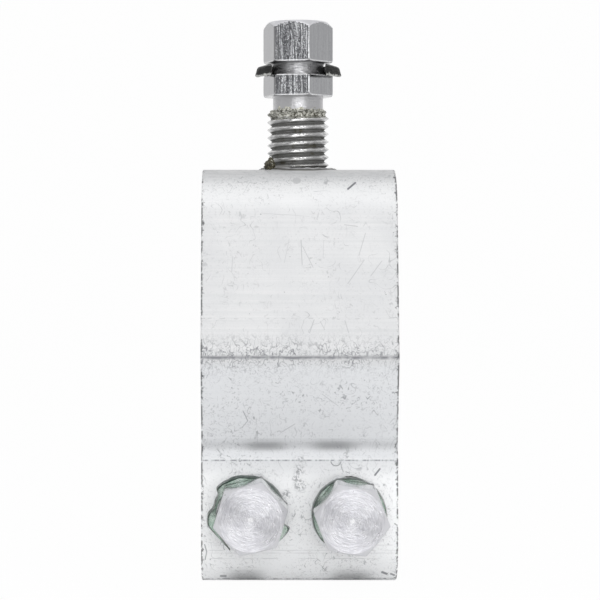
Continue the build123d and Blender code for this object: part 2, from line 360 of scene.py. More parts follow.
def aluminium_material():
    """Pale extruded aluminium: die lines, a scuffed ridge, handling scratches and sawn ends."""
    nodes = Nodes("extruded_aluminium")
    point = object_mm(nodes)
    x, y, z = nodes.separate(point)
    sawn = abs(nodes.separate(nodes.coordinates("Normal"))[0]).ramp(0.8, 0.95)
    front = y.ramp(-17, -10, 1, 0) * sawn.ramp(0.4, 0.6, 1, 0)
    lower = z.ramp(57, 54)

    die_lines = nodes.noise(point, (0.012, 1.3, 1.3), 5, 0.65)
    fine_lines = nodes.noise(point, (0.03, 5.0, 5.0), 3, 0.6)
    broad = nodes.noise(point, 0.07, 3, 0.5)
    cloud = nodes.noise(point, 0.35, 4, 0.6)
    grain = nodes.noise(point, 3.0, 3, 0.7)
    saw = nodes.noise(nodes.combine((y * 0.25 + z) * 2.4, y * 0.02, x), 1.0, 4, 0.7)

    scattered, strokes, pits = scattered_marks(nodes, point, z, lower, cloud)
    marks = nodes.most(scattered, photographed_marks(nodes, point, x, z, cloud)) * front
    marks = nodes.most(marks, nodes.most(strokes, pits) * front.ramp(0, 1, 0.45, 0))

    smudge = nodes.noise(point, (0.4, 0.9, 0.9), 5, 0.7).ramp(0.44, 0.62)
    smudge = smudge * nodes.most(z.band(103.5, 6), z.band(-1, 6))
    # Painted light: the block's front is painted lighter, more so towards the bottom
    block = z.ramp(32.8, 31) * front * z.ramp(31.5, 25.5, 0.2, 0.97)
    burr = nodes.length(x, y).band(BURR_RADIUS, 1.0) * z.ramp(103.5, 104.0, 0, 0.95)
    ragged = abs(x) + nodes.noise(point, 0.8, 4, 0.7).ramp(0.5, 0.72) * 0.7
    chips = nodes.noise(point, 0.6, 4, 0.7).ramp(0.45, 0.54)
    colour = nodes.coats(
        nodes.mix(die_lines.ramp(0.3, 0.7), linear(204, 205, 206), linear(214, 214, 215)),
        (broad.ramp(0.4, 0.65, 0, 0.5), linear(203, 204, 206)),
        (grain.ramp(0.35, 0.65, 0, 0.12), linear(190, 192, 194)),
        (smudge * 0.27, linear(168, 170, 172)),
        # Painted highlight: a lighter band along the rounded shoulder at the top of the front
        (z.band(SHOULDER_HIGHLIGHT_Z, 5.8) * front * 0.62, linear(243, 244, 245)),
        # The lower wall has a faint cool tint, and is painted lighter as well, as painted light where it faces
        # down
        (lower * front * 0.7, linear(224, 226, 229)),
        (block, linear(251, 252, 253)),
        # Painted shade of the bolt heads, in the groove above them and on the edge below them
        (painted_bolt_shade(nodes, x, z, die_lines) * front, linear(84, 86, 88)),
        (marks * 0.88, linear(92, 94, 101)),
        (burr, linear(66, 65, 60)),
        (ragged.ramp(23.95, 24.3) * chips * sawn.ramp(0, 1, 0.85, 0), linear(78, 80, 82)),
        (sawn * saw.ramp(0.35, 0.65, 0, 0.5), linear(188, 190, 193)),
    )
    height = die_lines * 0.6 + fine_lines * 0.25 + grain * 0.25 - strokes * 1.2 + saw * sawn * 3.0
    return nodes.surface(Base_Color=colour, Metallic=0.08, Normal=nodes.bump(height, 0.03 * MM),
                         Roughness=broad.ramp(0.35, 0.65, 0.42, 0.5) + marks * 0.15)


def spread_direction(nodes):
    """The way highlights stretch on a turned or drawn surface, stored with the mesh."""
    turn = nodes.add("VectorTransform", vector_type="VECTOR", convert_from="OBJECT", convert_to="WORLD")
    return nodes.put_all(turn, [nodes.stored("spread")])


def hexagon_material():
    """Drawn hexagon steel: smooth plated flats, painted darker on one side and painted bright along their
    edges, and one flat that a socket rubbed to dark streaks.
    """
    nodes = Nodes("plated_steel_drawn")
    point = nodes.stored("turned")
    x, y, z = nodes.separate(point)
    angle = nodes.math("ARCTAN2", y, x) + math.radians(RUBBED_FLAT)
    rubbed = abs(angle).ramp(math.radians(27.5), math.radians(29.5), 1, 0)
    streaks = nodes.noise(point, (1.9, 1.9, 0.06), 3, 0.65)
    lines = nodes.noise(point, (4.2, 4.2, 0.12), 2, 0.6)
    speckle = nodes.noise(point, (6.0, 6.0, 4.8), 3, 0.7)
    relief = streaks * 0.34 + lines * 0.38 + speckle * 0.85
    # Painted highlight: bright thin lines at the hexagons' lower edges and the release hexagon's top edge
    painted_edge_glint = nodes.most(z.band(RELEASE_HEX - 0.15, 0.3), z.band(0.2, 0.3),
                      z.band(RELEASE_HEX + NECK + 0.18, 0.32)) * speckle.ramp(0.36, 0.5)
    colour = nodes.coats(
        nodes.mix(streaks.ramp(0.35, 0.65), linear(202, 203, 205), linear(191, 192, 195)),
        (speckle.ramp(0.42, 0.66, 0, 0.6), linear(164, 165, 167)),
        # Painted shade: the flats on the bolt's -x side are painted darker
        ((x + speckle * 0.6).ramp(-4.4, -5.4, 0, 0.75), linear(150, 150, 152)),
        (relief.ramp(0.71, 0.81) * rubbed, linear(72, 73, 76)),
        (painted_edge_glint * 0.85, linear(238, 238, 240)),
    )
    bright = nodes.most(relief.ramp(0.64, 0.56) * rubbed, painted_edge_glint)
    relief = relief * rubbed.ramp(0, 1, 0.05, 1.0)
    return nodes.surface(
        Base_Color=colour, Metallic=bright.ramp(0, 1, 1.0, 0.55), Roughness=bright.ramp(0, 1, 0.12, 0.4),
        Normal=nodes.bump(relief, 0.13 * MM), Tangent=spread_direction(nodes), Anisotropic=0.3,
    )


def turned_material():
    """Lathe-turned steel: fine rings round the axis, a soft haze, a pip in the face painted bright as a
    highlight, and painted shade below the face.
    """
    nodes = Nodes("plated_steel_turned")
    point = nodes.stored("turned")
    x, y, z = nodes.separate(point)
    radius = nodes.length(x, y)
    along = radius + z
    wobble = nodes.noise(point, 0.5, 2, 0.5)
    around = nodes.math("ARCTAN2", y, x) * 3.2
    rings = nodes.noise(nodes.combine(along * 5.0, wobble, around), 1.0, 3, 0.6)
    wide = nodes.noise(nodes.combine(along * 2.2, wobble * 3, around), 1.0, 3, 0.6)
    blotch = nodes.noise(point, 0.6, 4, 0.6)
    bevel = radius.ramp(7.66, 7.74) * z.ramp(FACE_Z - 2.4, FACE_Z - 2.0)
    # Painted highlight: the pip in the middle of the face is painted bright
    pip = radius.ramp(0.8, 0.3, 0, 0.7) * z.ramp(FACE_Z - 0.4, FACE_Z - 0.2)
    lined = nodes.mix(wide.ramp(0.35, 0.65), linear(138, 138, 140), linear(180, 180, 182))
    colour = nodes.coats(
        nodes.mix(rings.ramp(0.3, 0.7), linear(181, 181, 185), linear(208, 208, 212)),
        (blotch.ramp(0.42, 0.7, 0, 0.6), linear(184, 184, 190)),
        (bevel, linear(209, 209, 213)),
        (pip, linear(248, 248, 250)),
        # Painted shade: below the top face the turned steel is painted darker, and the shank below the release
        # hexagon a little darker than the face
        (z.ramp(FACE_Z - 2.0, FACE_Z - 2.4), lined),
        (z.ramp(0.4, 0.1), linear(186, 186, 188)),
    )
    return nodes.surface(
        Base_Color=colour, Metallic=0.9 - nodes.most(bevel * 0.6, pip * 0.4),
        Roughness=blotch.ramp(0.3, 0.7, 0.27, 0.37), Normal=nodes.bump(rings * 0.7 + wide, 0.12 * MM),
        Tangent=spread_direction(nodes), Anisotropic=0.82,
    )


def thread_material():
    """Cut thread: bright worn crests, valleys painted dark as shade with grey-olive grime in them, and a crust
    at the top.
    """
    nodes = Nodes("plated_steel_thread")
    point = nodes.stored("turned")
    x, y, z = nodes.separate(point)
    grime = nodes.noise(point, 0.4, 5, 0.65)
    drag = nodes.noise(point, (0.5, 0.5, 1.2), 3, 0.5)
    valley = (nodes.length(x, y) + drag * 0.2).ramp(7.52, 7.08)
    ends = nodes.most(z.ramp(-5.9, -4.8), z.ramp(-16.8, -18.6, 0, 0.7))
    stain = nodes.most(grime.ramp(0.56, 0.66) * valley.ramp(0, 1, 0.15, 0.7),
                       ends * grime.ramp(0.36, 0.56, 0.2, 0.9))
    crust = nodes.mix(nodes.noise(point, 1.7, 5, 0.75).ramp(0.44, 0.56), linear(62, 60, 48),
                      linear(224, 224, 215))
    colour = nodes.coats(
        nodes.mix(drag.ramp(0.3, 0.7), linear(204, 204, 204), linear(226, 226, 226)),
        # Painted shade: the thread's valleys are painted dark
        (valley * 0.85, linear(62, 62, 58)),
        (stain, linear(70, 66, 46)),
        (z.ramp(-5.8, -5.0, 0, 0.9), crust),
    )
    dull = nodes.most(stain, valley * 0.7)
    return nodes.surface(
        Base_Color=colour, Metallic=dull.ramp(0, 1, 1.0, 0.3), Roughness=dull.ramp(0, 1, 0.24, 0.6),
        Tangent=spread_direction(nodes), Anisotropic=0.5,
    )


def grime_material(name, dark, light, glint):
    """Dried olive-brown thread compound with bits of swarf in it, more of them at a lower glint."""
    nodes = Nodes(name)
    point = nodes.stored("turned")
    lumps = nodes.noise(point, 1.6, 5, 0.7)
    glints = nodes.noise(point, 3.2, 3, 0.6).ramp(glint, glint + 0.05)
    colour = nodes.coats(dark, (lumps.ramp(0.35, 0.65), light), (glints, linear(226, 226, 216)))
    return nodes.surface(Base_Color=colour, Metallic=glints * 0.8, Roughness=0.38,
                         Normal=nodes.bump(lumps, 0.14 * MM))


def dark_clip_material():
    """Near-black moulded plastic with a gloss, a little grey wear, and a painted pale highlight along its
    lower lip.
    """
    nodes = Nodes("dark_clip_plastic")
    point = nodes.stored("turned")
    flow = nodes.noise(point, (0.5, 0.5, 1.6), 4, 0.6)
    wear = nodes.noise(point, 1.7, 4, 0.7).ramp(0.55, 0.68)
    # Painted highlight: the clip's lower lip is painted pale
    lip_highlight = nodes.separate(nodes.stored("edge"))[1] + (nodes.noise(point, 1.5, 4, 0.7) - 0.5) * 0.7
    colour = nodes.coats(
        nodes.mix(flow.ramp(0.35, 0.7), linear(8, 9, 8), linear(24, 25, 23)),
        (wear * 0.12, linear(110, 110, 107)),
        (lip_highlight.ramp(0.78, 0.92, 0, 0.85), linear(190, 191, 188)),
    )
    return nodes.surface(Base_Color=colour, Roughness=flow.ramp(0.3, 0.7, 0.16, 0.34), IOR=1.5,
                         Specular_IOR_Level=0.32, Normal=nodes.bump(flow, 0.15 * MM))


def green_clip_material():
    """Clear plastic with a green cast: pale across its thin side, with painted dark shade at the rim."""
    nodes = Nodes("green_clip_plastic")
    point = nodes.stored("turned")
    x, y, z = nodes.separate(point)
    flow = nodes.noise(point, 0.55, 4, 0.6, 0.6)
    rim = nodes.separate(nodes.stored("edge"))[0] + (flow - 0.5) * 0.3 - x.ramp(-2.0, 3.0, 0, 0.09)
    colour = nodes.coats(
        nodes.mix(flow.ramp(0.35, 0.65), linear(226, 238, 229), linear(176, 204, 186)),
        (x.ramp(-6.6, -8.4) * y.ramp(-1.5, 1.0, 0, 0.6), linear(66, 92, 76)),
        # Painted shade: the clip's rim is painted dark green
        (rim.ramp(0.76, 0.9), linear(28, 54, 42)),
    )
    return nodes.surface(Base_Color=colour, Roughness=flow.ramp(0.3, 0.7, 0.06, 0.2), IOR=1.45,
                         Normal=nodes.bump(flow, 0.25 * MM),
                         Transmission_Weight=rim.ramp(0.7, 0.9, 0.85, 0.1))


def plain_metal(name, colour, rough):
    """Cast or tinned metal of the hidden pieces: grain, tarnish and fine scratches."""
    nodes = Nodes(name)
    point = object_mm(nodes)
    grain = nodes.noise(point, 1.4, 5, 0.65)
    tarnish = nodes.noise(point, 0.18, 4, 0.6)

    def darker(share):
        return tuple(c * share for c in colour)

    tone = nodes.coats(
        nodes.mix(grain.ramp(0.35, 0.7, 0, 0.6), colour, darker(0.7)),
        (tarnish.ramp(0.45, 0.7, 0, 0.4), darker(0.55)),
        (curly_lines(nodes, point, 0.6, 0.012, 0.5, 5.0), darker(0.4)),
    )
    return nodes.surface(Base_Color=tone, Metallic=1.0, Normal=nodes.bump(grain, 0.08 * MM),
                         Roughness=grain.ramp(0.3, 0.7, rough - 0.08, rough + 0.1))


# Mesh helpers

def add_object(name, data):
    """An object of this mesh, light or camera in the scene."""
    made = bpy.data.objects.new(name, data)
    bpy.context.scene.collection.objects.link(made)
    return made


def add_mesh(name, vertices, faces):
    mesh = bpy.data.meshes.new(name)
    mesh.from_pydata([tuple(v) for v in vertices], [], faces)
    mesh.update()
    return add_object(name, mesh)


def add_bmesh(name, bm):
    mesh = bpy.data.meshes.new(name)
    bm.to_mesh(mesh)
    bm.free()
    return add_object(name, mesh)


def dress(piece, body, slot, *materials):
    """Gives a piece its materials and the body it rides on; the slot is not used."""
    piece.data.materials.clear()
    for material in materials:
        piece.data.materials.append(material)
    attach(piece, body)


def shade(piece, degrees):
    """Smooth shading, with edges sharper than this angle kept crisp."""
    piece.data.shade_smooth()
    piece.data.set_sharp_from_angle(angle=math.radians(degrees))


def store_vectors(piece, name, values):
    store = piece.data.attributes.new(name, "FLOAT_VECTOR", "POINT")
    store.data.foreach_set("vector", np.array(values, dtype=np.float32).ravel())


def rough(point, scale, seed=0.0):
    """Smooth noise between -1 and 1 at a point in millimetres."""
    return noise.noise(Vector((point[0] * scale + seed, point[1] * scale - seed, point[2] * scale)))


def polar(radius, angle, z):
    return (radius * math.cos(angle), radius * math.sin(angle), z)


def rotated(x, y, angle):
    return (x * math.cos(angle) - y * math.sin(angle), x * math.sin(angle) + y * math.cos(angle))


# The clamp body

# The section's corners as (y, z, radius)
OUTLINE = (
    (27, 0, 2.5), (-22, 0, 10), (-22, 31.5, 0.6), (-20.3, 34.2, 3), (-27, 57.3, 9),
    (-18.242, 104.1, 13.5), (20, 104.1, 6.5), (20, 86.1, 6.5), (-11.11, 86.1, 3),
    (-16.5, 57.3, 10), (-10.322, 36, 3), (-8.05, 36, 0), (-8.05, 32.5, 0), (-3.95, 32.5, 0),
    (-3.95, 36, 0), (3.95, 36, 0), (3.95, 32.5, 0), (8.05, 32.5, 0), (8.05, 36, 0), (27, 36, 2.5),
)
# The tunnel as (y, z, radius), and its recess and bar slot as (y of the floor, half width)
TUNNEL = (6.0, 19.4, 9.0)
RECESS = (18.5, 6.0)
BAR_SLOT = (23.0, 2.05)
TUNNEL_STEPS = 48
FINE_STEP = 0.5
COARSE_STEP = 3.0
END_ZONE = 1.0
# Where the burr round the main hole ends, and how high it stands
BURR_EDGE = 10.4
BURR_HEIGHT = 0.65


def rounded_outline(corners):
    """Points along a closed outline of (y, z, radius) corners, with each arc sampled."""
    points = []
    for i, (y, z, radius) in enumerate(corners):
        corner = Vector((y, z))
        if radius == 0:
            points.append(corner)
            continue
        before = (Vector(corners[i - 1][:2]) - corner).normalized()
        after = (Vector(corners[(i + 1) % len(corners)][:2]) - corner).normalized()
        half = before.angle(after) / 2
        tangent = radius / math.tan(half)
        centre = corner + (before + after).normalized() * (radius / math.sin(half))
        first = corner + before * tangent - centre
        last = corner + after * tangent - centre
        sweep = first.angle_signed(last)
        steps = max(4, int(abs(sweep) * radius / FINE_STEP))
        points += [centre + Vector(rotated(*first, -sweep * s / steps)) for s in range(steps + 1)]
    return points


def filled_in(points):
    """The same closed outline with long runs divided, finely where the photograph looks."""
    dense = []
    for i, point in enumerate(points):
        following = points[(i + 1) % len(points)]
        seen = max(point.x, following.x) < -17 or min(point.y, following.y) > 100
        step = FINE_STEP if seen else COARSE_STEP
        count = max(1, round((following - point).length / step))
        dense += [point.lerp(following, s / count) for s in range(count)]
    return dense


def tunnel_outline():
    """The tunnel with its recess and bar slot, as one closed loop."""
    y, z, radius = TUNNEL
    opening = math.asin(RECESS[1] / radius)
    sweep = 2 * math.pi - 2 * opening
    loop = [Vector(polar(radius, opening + sweep * s / TUNNEL_STEPS, 0)[:2]) + Vector((y, z))
            for s in range(TUNNEL_STEPS + 1)]
    (recess_y, recess_half), (slot_y, slot_half) = RECESS, BAR_SLOT
    for at_y, half in ((recess_y, -recess_half), (recess_y, -slot_half), (slot_y, -slot_half),
                       (slot_y, slot_half), (recess_y, slot_half), (recess_y, recess_half)):
        loop.append(Vector((at_y, z + half)))
    return loop


def outward(points):
    """The outward normal at each point of an outline."""
    area = sum(p.x * q.y - q.x * p.y for p, q in zip(points, points[1:] + points[:1]))
    normals = []
    for i, point in enumerate(points):
        run = (points[(i + 1) % len(points)] - points[i - 1]).normalized()
        normals.append(Vector((run.y, -run.x)) * (1 if area > 0 else -1))
    return normals


def end_chamfer(side, point):
    """How wide the worn end edge is here, with chips along the front and top."""
    spot = (side * 40, point.x, point.y)
    width = 0.22 + 0.1 * rough(spot, 1.3)
    chip = rough(spot, 0.55, 9.0) + 0.5 * rough(spot, 1.6, 4.0)
    return max(0.1, width + max(0.0, chip - 0.28) * 1.3)


def surface_wear(x, y, z):
    """How far handling has pushed the surface in or out, in millimetres."""
    wear = 0.012 * rough((x, y, z), 0.3) + 0.01 * rough((x, y, z), 1.0, 3.0)
    if y < -15 and 50 < z < 62:
        wear -= 0.05 * max(0.0, rough((x, y, z), 0.9, 6.0)) * (1 - abs(z - 56.5) / 6)
    return wear


def burr_height(x, y):
    """The lip raised round the main bolt's hole when it was drilled."""
    angle = math.atan2(y, x)
    edge = BURR_EDGE + 0.35 * math.sin(angle * 2 + 0.6) + 0.3 * rough(polar(5, angle, 0), 0.9)
    lift = min(1.0, (edge - math.hypot(x, y)) / 0.9)
    if lift < 0:
        return 0.0
    return BURR_HEIGHT * lift * lift * (3 - 2 * lift) * (0.85 + 0.3 * rough((x, y, 0), 0.7, 2.0))


def station_list():
    """Places of the body's rings along X; None is the inner edge of a worn end."""
    half = BODY_LENGTH / 2
    inner = half - END_ZONE
    count = round(2 * inner / FINE_STEP)
    return [-half, None] + [-inner + 2 * inner * i / count for i in range(count + 1)] + [None, half]


def body_mesh():
    """Vertices and faces of the body before its holes are cut, and where each end's loops start."""
    vertices, faces = [], []
    caps = {-1: [], 1: []}
    stations = station_list()
    last = len(stations) - 1
    for loop, is_tunnel in ((filled_in(rounded_outline(OUTLINE)), False), (tunnel_outline(), True)):
        normals = outward(loop)
        first, count = len(vertices), len(loop)
        for s, x in enumerate(stations):
            side = -1 if s < 2 else 1
            for point, normal in zip(loop, normals):
                inset, place_x = 0.0, x
                chamfer = 0.15 if is_tunnel else end_chamfer(side, point)
                if s in (0, last):
                    inset = chamfer
                elif x is None:
                    place_x = side * (BODY_LENGTH / 2 - chamfer * 0.9)
                elif not is_tunnel:
                    inset = -surface_wear(x, point.x, point.y)
                moved = point - normal * (-inset if is_tunnel else inset)
                on_top = not is_tunnel and moved.y > 102.5 and normal.y > 0.9
                lift = burr_height(place_x, moved.x) if on_top else 0.0
                vertices.append((place_x, min(moved.x, BODY_BACK_Y), max(0.0, moved.y + lift)))
        for s in range(last):
            a, b = first + s * count, first + (s + 1) * count
            for i in range(count):
                j = (i + 1) % count
                faces.append((a + i, b + i, b + j, a + j))
        caps[-1].append((first, count))
        caps[1].append((first + last * count, count))
    return vertices, faces, caps


def round_cutter(name, start, end):
    """A many-sided bar from one point to another, used to cut a bolt's hole."""
    axis = Vector(end) - Vector(start)
    bm = bmesh.new()
    bmesh.ops.create_cone(bm, cap_ends=True, segments=96, radius1=HOLE_RADIUS * MM, radius2=HOLE_RADIUS * MM,
                          depth=axis.length * MM)
    bmesh.ops.rotate(bm, cent=(0, 0, 0), matrix=axis.to_track_quat("Z", "Y").to_matrix(), verts=bm.verts)
    bmesh.ops.translate(bm, vec=(Vector(start) + Vector(end)) / 2 * MM, verts=bm.verts)
    return add_bmesh(name, bm)


def make_body(material):
    """The worn clamp body with its three drilled holes, in place of its CAD node."""
    vertices, faces, caps = body_mesh()
    bm = bmesh.new()
    made = [bm.verts.new((x * MM, y * MM, z * MM)) for x, y, z in vertices]
    for face in faces:
        bm.faces.new([made[i] for i in face])
    for loops in caps.values():
        edges = []
        for first, count in loops:
            edges += [bm.edges.get((made[first + i], made[first + (i + 1) % count])) for i in range(count)]
        bmesh.ops.triangle_fill(bm, edges=edges, use_beauty=True)
    bmesh.ops.recalc_face_normals(bm, faces=bm.faces)
    piece = add_bmesh("worn_clamp_body", bm)
    cutters = [round_cutter("main_hole", (0, 0, 78), (0, 0, 112))]
    cutters += [round_cutter("branch_hole", (x, -32, BRANCH_Z), (x, 6, BRANCH_Z))
                for x in (-BRANCH_X, BRANCH_X)]
    for cutter in cutters:
        cut = piece.modifiers.new(cutter.name, "BOOLEAN")
        cut.operation = "DIFFERENCE"
        cut.solver = "EXACT"
        cut.object = cutter
    cut_mesh = bpy.data.meshes.new_from_object(piece.evaluated_get(bpy.context.evaluated_depsgraph_get()))
    piece.modifiers.clear()
    piece.data = cut_mesh
    for cutter in cutters:
        bpy.data.objects.remove(cutter)
    dress(piece, "clamp", "extruded_aluminium", material)
    shade(piece, 28)
    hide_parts("clamp_body")


# Bolts, on their own axis: the release hexagon's underside is z = 0 and the tip points down

DRAWN, TURNED, THREADED = 0, 1, 2
# Angles from the middle of a hexagon's face, closer together at its corners
FACE_STEPS = (0, 7.5, 15, 21, 25, 27, 28.3, 29.2)
# The rounding under a hexagon as (less radius, rise), and the turned face's rings as (radius, drop)
UNDERSIDE_ROUNDING = ((0.5, 0), (0.22, 0.14), (0.08, 0.4), (0, 0.8))
FACE_RINGS = (
    (7.5, 0), (7.0, 0.01), (6.0, 0.03), (5.0, 0.01), (4.0, 0.035), (3.0, 0.015), (2.0, 0.03), (1.2, 0.03),
    (0.8, 0.06), (0.4, 0.11), (0.03, 0.12),
)
BEVEL_STEPS = 12
# How much of a turn the thread's crest and its valley take up
CREST, VALLEY = 0.1, 0.12
THREAD_COUNT = 144
THREAD_ROWS_PER_TURN = 14


def face_angles():
    """Angles round a hexagon in degrees."""
    one_face = sorted({-a for a in FACE_STEPS} | set(FACE_STEPS))
    return [60 * k + 30 + a for k in range(6) for a in one_face]


class Lathe:
    """Collects rings of points, and what each ring's surface is, into one closed solid."""

    def __init__(self):
        self.vertices, self.faces, self.kinds, self.spread = [], [], [], []

    def add(self, rings):
        """Rings of (points, kinds, spread) of equal length; the two end rings are closed."""
        count = len(rings[0][0])
        first = len(self.vertices)
        for points, kind, spread in rings:
            self.vertices += points
            for x, y, z in points:
                size = math.hypot(x, y) or 1.0
                self.spread.append({"up": (0, 0, 1), "out": (x / size, y / size, 0),
                                    "round": (-y / size, x / size, 0)}[spread])
        for r in range(len(rings) - 1):
            a, b = first + r * count, first + (r + 1) * count
            for i in range(count):
                j = (i + 1) % count
                self.faces.append((a + i, a + j, b + j, b + i))
                kinds = rings[r + 1][1]
                self.kinds.append(kinds if isinstance(kinds, int) else max(kinds[i], kinds[j]))
        last = first + (len(rings) - 1) * count
        self.faces.append(tuple(range(first + count - 1, first - 1, -1)))
        self.faces.append(tuple(range(last, last + count)))
        self.kinds += [TURNED, TURNED]


def circle(radius, z, count):
    return [polar(radius, i * 2 * math.pi / count, z) for i in range(count)]


def head_rings(turn):
    """The two hexagons, the neck and the shank, from the shank's lower end to the top face."""
    angles = face_angles()
    corner = HEX_APOTHEM / math.cos(math.radians(30)) - 0.06
    rings = []

    def round_ring(radius, z, spread="up"):
        rings.append(([polar(radius, math.radians(a + turn), z) for a in angles], TURNED, spread))

    def hex_ring(limit, z, spread="round"):
        points, kinds = [], []
        for a in angles:
            radius = HEX_APOTHEM / math.cos(math.radians(a % 60 - 30))
            kinds.append(TURNED if limit < radius and limit < corner - 0.03 else DRAWN)
            radius = min(radius, limit)
            around = math.radians(a + turn)
            radius += 0.02 * rough(polar(radius, around, z), 0.8)
            points.append(polar(radius, around, z))
        rings.append((points, kinds, spread))

    def hexagon(bottom, height, top_bevel, top_radius):
        for less, rise in UNDERSIDE_ROUNDING:
            hex_ring(corner - less, bottom + rise, "round" if rise else "out")
        lowest = UNDERSIDE_ROUNDING[-1][1]
        for i in range(1, 8):
            hex_ring(corner, bottom + lowest + (height - top_bevel - lowest) * i / 8)
        for i in range(BEVEL_STEPS + 1):
            share = i / BEVEL_STEPS
            hex_ring(corner + (top_radius - corner) * share ** 1.1, bottom + height - top_bevel * (1 - share),
                     "out" if share > 0.15 else "round")

    drive_z = RELEASE_HEX + NECK
    round_ring(0.5, -SHANK - 1.2)
    round_ring(SHANK_RADIUS - 0.3, -SHANK - 1.2)
    for z in (-SHANK - 0.3, -SHANK, -SHANK * 0.6, -SHANK * 0.3, -0.25):
        round_ring(SHANK_RADIUS, z)
    round_ring(SHANK_RADIUS + 0.25, 0)
    hexagon(0, RELEASE_HEX, 0.3, corner - 0.35)
    round_ring(NECK_RADIUS + 0.3, RELEASE_HEX, "out")
    for i in range(7):
        round_ring(NECK_RADIUS - (i % 2) * 0.05, RELEASE_HEX + 0.3 + (NECK - 0.6) * i / 6)
    round_ring(NECK_RADIUS + 0.3, drive_z, "out")
    hexagon(drive_z, DRIVE_HEX, 1.55, HEX_APOTHEM - 0.3)
    for radius, drop in FACE_RINGS:
        round_ring(radius, FACE_Z - drop, "out")
    return rings


def thread_profile(turns):
    """How deep the thread is at a place along its pitch, 0 on the crest and 1 in the valley."""
    place = turns % 1.0
    flank = (1 - CREST - VALLEY) / 2
    if place < CREST:
        return 0.0
    if CREST + flank <= place < CREST + flank + VALLEY:
        return 1.0
    share = (place - CREST) / flank if place < CREST + flank else (1 - place) / flank
    return share * (0.97 + 0.03 * share)


def thread_rings(top, bottom, dirty):
    """The threaded length from its tip up, with run-outs, nicked crests and its uppermost grime."""
    rows = int((top - bottom) / THREAD_PITCH * THREAD_ROWS_PER_TURN)
    core = THREAD_RADIUS - THREAD_DEPTH - 0.1
    rings = [(circle(0.4, bottom, THREAD_COUNT), THREADED, "out")]
    for row in range(rows + 1):
        z = bottom + (top - bottom) * row / rows
        end = max(0.0, min(1.0, (z - bottom) / 1.2, (top - z) / 0.8))
        ring = []
        for i in range(THREAD_COUNT):
            angle = 2 * math.pi * i / THREAD_COUNT
            depth = thread_profile(z / THREAD_PITCH - i / THREAD_COUNT + THREAD_PHASE)
            spot = polar(7.9, angle, z)
            nick = rough(spot, 0.5, 5.0) + 0.5 * rough(spot, 1.8, 1.0)
            radius = THREAD_RADIUS - 0.05 - THREAD_DEPTH * depth - max(0.0, nick - 0.7) * 0.9 * (1 - depth)
            radius = min(radius, core + (THREAD_RADIUS - core) * end + 0.001)
            if dirty and z > top - 2.2:
                fill = 7.1 + 0.6 * rough(spot, 0.5, 8.0) + 0.15 * rough(spot, 1.6, 2.0)
                radius = max(radius, min(fill, THREAD_RADIUS - 0.1))
            ring.append(polar(radius, angle, z))
        rings.append((ring, THREADED, "round"))
    rings.append((circle(0.4, top, THREAD_COUNT), THREADED, "out"))
    return rings


def place_main(p):
    return (p[0] * MM, p[1] * MM, (p[2] + MAIN_SEAT_Z) * MM)


def place_branch(x, standoff):
    """Turns a bolt's own axis from +Z to -Y and moves it to its hole."""
    def place(p):
        return ((p[0] + x) * MM, (-p[2] + BLOCK_FRONT_Y - standoff) * MM, (p[1] + BRANCH_Z) * MM)
    return place


def carried(place, vectors):
    """Directions of a bolt's own frame turned the way that the bolt is placed."""
    origin = Vector(place((0, 0, 0)))
    return [tuple((Vector(place(v)) - origin) / MM) for v in vectors]


def make_bolt(name, node, body, place, turn, thread, spigot_radius, spigot_length):
    """A whole shear bolt in place of its CAD node: head and shank, helical thread and spigot."""
    tip = -SHANK - thread
    end = tip - spigot_length
    lathe = Lathe()
    lathe.add(head_rings(turn))
    lathe.add(thread_rings(-SHANK, tip, dirty=body == "main_bolt"))
    spigot = ((0.3, end), (spigot_radius - 0.3, end), (spigot_radius, end + 0.3), (spigot_radius, tip + 0.5),
              (0.3, tip + 0.5))
    lathe.add([(circle(radius, z, 64), TURNED, "up") for radius, z in spigot])
    piece = add_mesh(name, [place(p) for p in lathe.vertices], lathe.faces)
    dress(piece, body, "plated_steel", *STEELS)
    piece.data.polygons.foreach_set("material_index", lathe.kinds)
    store_vectors(piece, "turned", lathe.vertices)
    store_vectors(piece, "spread", carried(place, lathe.spread))
    shade(piece, 32)
    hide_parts(node)


def make_shank_grime(material):
    """The ragged collar of dried compound where the main bolt's thread runs out."""
    count, rows = 180, 16
    low, high = -5.3, -2.2
    core = SHANK_RADIUS - 1.5
    rings = [(circle(core, low, count), 0, "up")]
    for row in range(rows + 1):
        ring = []
        body = math.sin(math.pi * min(1.0, (row + 1) / (rows + 1)) ** 0.8)
        for i in range(count):
            angle = 2 * math.pi * i / count
            spot = polar(6.8, angle, 0)
            upper = high - 0.65 + 1.0 * rough(spot, 0.35, 3.0) + 0.7 * rough(spot, 1.3, 6.0)
            upper += 0.5 * max(0.0, -math.sin(angle))
            spot = polar(6.8, angle, low + (upper - low) * row / rows)
            bump = 0.32 + 0.5 * rough(spot, 1.1, 1.0) + 0.3 * rough(spot, 2.8)
            radius = SHANK_RADIUS - 0.12 + max(0.0, bump) * body * (1.0 if spot[2] < -3.6 else 0.55)
            ring.append(polar(min(radius, 7.9), angle, spot[2]))
        rings.append((ring, 0, "up"))
    rings.append((circle(core, high - 1.5, count), 0, "up"))
    lathe = Lathe()
    lathe.add(rings)
    piece = add_mesh("shank_compound", [place_main(p) for p in lathe.vertices], lathe.faces)
    dress(piece, "main_bolt", "plated_steel", material)
    store_vectors(piece, "turned", lathe.vertices)
    shade(piece, 50)


